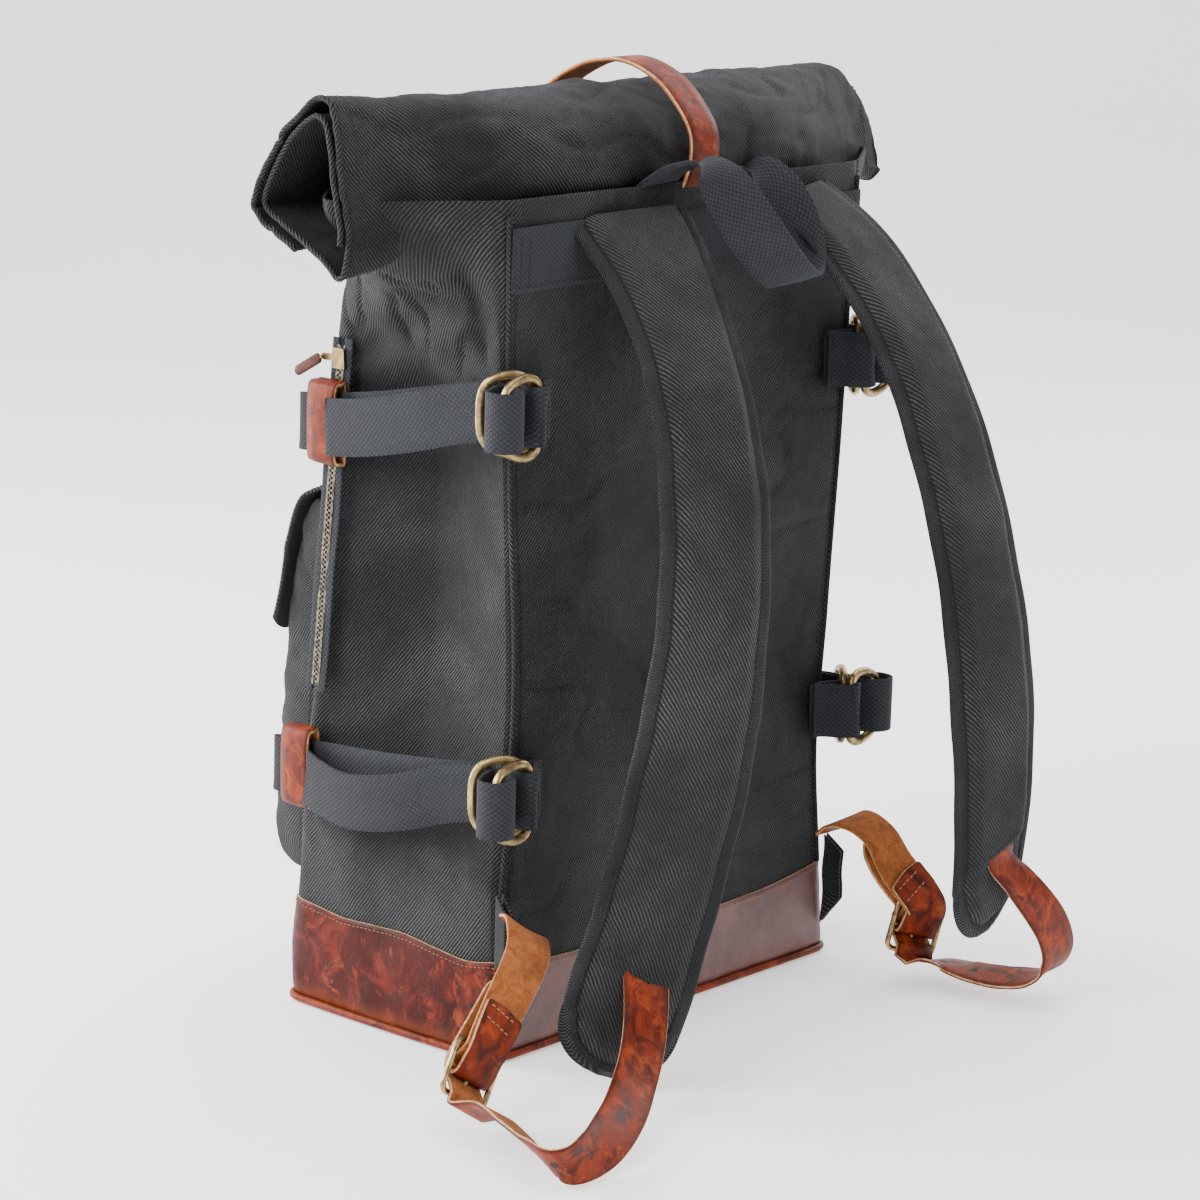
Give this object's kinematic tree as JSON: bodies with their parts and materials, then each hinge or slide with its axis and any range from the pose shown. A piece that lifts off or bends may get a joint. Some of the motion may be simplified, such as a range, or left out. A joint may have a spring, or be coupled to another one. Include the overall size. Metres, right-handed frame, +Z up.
{
  "type": "roll-top backpack",
  "caption": "Roll-top canvas backpack with leather base, padded shoulder straps, buckled leather strap ends, ringed side webbing, front pocket and side zip.",
  "frame": {"origin": "centre of the base's underside", "axes": "+Z up; +Y towards the wearer's back, where the shoulder straps are; +X the wearer's right"},
  "size_m": [0.5184, 0.3995, 0.5701],
  "materials": {
    "canvas": "black cotton twill",
    "webbing": "plain-weave cotton webbing",
    "lining": "light plain cotton",
    "base_leather": "mottled pull-up leather",
    "strap_leather": "red-brown leather, raw edges",
    "foam": "soft closed-cell foam",
    "board": "stiffener board",
    "brass": "antique brass",
    "zip_metal": "pale metal teeth"
  },
  "bodies": {
    "bag": {"anchor_strap_left": "strap_leather", "anchor_strap_right": "strap_leather", "back_foam": "foam", "back_panel": "canvas", "back_webbing": "webbing", "base_leather_back": "base_leather", "base_leather_bottom": "base_leather", "base_leather_wrap": "base_leather", "base_piping": "base_leather", "bottom_board": "board", "closure_chape": "strap_leather", "closure_strap": "strap_leather", "corner_tab_left": "canvas", "corner_tab_right": "canvas", "front_panel": "canvas", "front_pocket": "canvas", "lining": "lining", "ring_loop_lower_left": "webbing", "ring_loop_lower_right": "webbing", "ring_loop_upper_left": "webbing", "ring_loop_upper_right": "webbing", "roll_top": "canvas", "side_panel_left": "canvas", "side_panel_right": "canvas", "side_strap_lower_left": "webbing", "side_strap_lower_right": "webbing", "side_strap_upper_left": "webbing", "side_strap_upper_right": "webbing", "strap_keeper_lower_left": "strap_leather", "strap_keeper_lower_right": "strap_leather", "strap_keeper_upper_left": "strap_leather", "strap_keeper_upper_right": "strap_leather", "zipper_tape": "webbing", "zipper_teeth": "zip_metal"},
    "handle": {"grab_handle": "webbing"},
    "strap_right": {"shoulder_pad_right": "canvas", "pad_foam_right": "foam", "adjuster_strap_right": "strap_leather"},
    "strap_left": {"shoulder_pad_left": "canvas", "pad_foam_left": "foam", "adjuster_strap_left": "strap_leather"},
    "buckle_right": {"buckle_frame_right": "brass"},
    "prong_right": {"buckle_prong_right": "brass"},
    "buckle_left": {"buckle_frame_left": "brass"},
    "prong_left": {"buckle_prong_left": "brass"},
    "rings_upper_right": {"d_rings_upper_right": "brass"},
    "rings_upper_left": {"d_rings_upper_left": "brass"},
    "rings_lower_right": {"d_rings_lower_right": "brass"},
    "rings_lower_left": {"d_rings_lower_left": "brass"},
    "flap": {"pocket_flap": "canvas"},
    "zip_slider": {"zipper_slider": "brass"},
    "zip_pull": {"zipper_pull": "strap_leather"},
    "closure_buckle": {"closure_buckle_frame": "brass"},
    "closure_prong": {"closure_buckle_prong": "brass"}
  },
  "joints": [
    {"name": "right_strap_swing", "type": "hinge", "parent": "bag", "child": "strap_right", "pos_m": [0.0635, 0.088, 0.4875], "axis": [1, 0, 0], "range_deg": [-3, 12], "deforming": ["adjuster_strap_right"]},
    {"name": "left_strap_swing", "type": "hinge", "parent": "bag", "child": "strap_left", "pos_m": [-0.092, 0.088, 0.491], "axis": [1, 0, 0], "range_deg": [0, 12], "deforming": ["adjuster_strap_left"]},
    {"name": "handle_flip", "type": "hinge", "parent": "bag", "child": "handle", "pos_m": [-0.006, 0.0922, 0.501], "axis": [1, 0, 0], "range_deg": [-15, 55]},
    {"name": "right_buckle_rock", "type": "hinge", "parent": "bag", "child": "buckle_right", "pos_m": [0.238, 0.143, 0.03], "axis": [-0.8042, 0.191, -0.5629], "range_deg": [-3, 3]},
    {"name": "right_prong_lift", "type": "hinge", "parent": "buckle_right", "child": "prong_right", "pos_m": [0.238, 0.143, 0.03], "axis": [-0.8042, 0.191, -0.5629], "range_deg": [0, 25]},
    {"name": "left_buckle_rock", "type": "hinge", "parent": "bag", "child": "buckle_left", "pos_m": [-0.156, 0.155, 0.03], "axis": [-0.8593, 0.4092, -0.3069], "range_deg": [-3, 3]},
    {"name": "left_prong_lift", "type": "hinge", "parent": "buckle_left", "child": "prong_left", "pos_m": [-0.156, 0.155, 0.03], "axis": [-0.8593, 0.4092, -0.3069], "range_deg": [0, 25]},
    {"name": "closure_buckle_rock", "type": "hinge", "parent": "bag", "child": "closure_buckle", "pos_m": [0, -0.0625, 0.418], "axis": [1, 0, 0], "range_deg": [-2.5, 2.5]},
    {"name": "closure_prong_lift", "type": "hinge", "parent": "closure_buckle", "child": "closure_prong", "pos_m": [0, -0.0625, 0.418], "axis": [1, 0, 0], "range_deg": [0, 20]},
    {"name": "flap_lift", "type": "hinge", "parent": "bag", "child": "flap", "pos_m": [0, -0.0632, 0.3165], "axis": [-1, 0, 0], "range_deg": [0, 75]},
    {"name": "zip_slide", "type": "slide", "parent": "bag", "child": "zip_slider", "axis": [0, -0.09, -0.9959], "range_m": [0, 0.185]},
    {"name": "zip_pull_swing", "type": "hinge", "parent": "zip_slider", "child": "zip_pull", "pos_m": [0.1596, -0.05763, 0.398], "axis": [1, 0, 0], "range_deg": [-30, 45]},
    {"name": "upper_right_rings_turn", "type": "hinge", "parent": "bag", "child": "rings_upper_right", "pos_m": [0.15, 0.099, 0.384], "axis": [0, 0, 1], "range_deg": [-1.5, 5]},
    {"name": "upper_left_rings_turn", "type": "hinge", "parent": "bag", "child": "rings_upper_left", "pos_m": [-0.15, 0.099, 0.384], "axis": [0, 0, 1], "range_deg": [-5, 1.5]},
    {"name": "lower_right_rings_turn", "type": "hinge", "parent": "bag", "child": "rings_lower_right", "pos_m": [0.15, 0.099, 0.162], "axis": [0, 0, 1], "range_deg": [-1.5, 5]},
    {"name": "lower_left_rings_turn", "type": "hinge", "parent": "bag", "child": "rings_lower_left", "pos_m": [-0.15, 0.099, 0.162], "axis": [0, 0, 1], "range_deg": [-5, 1.5]}
  ]
}
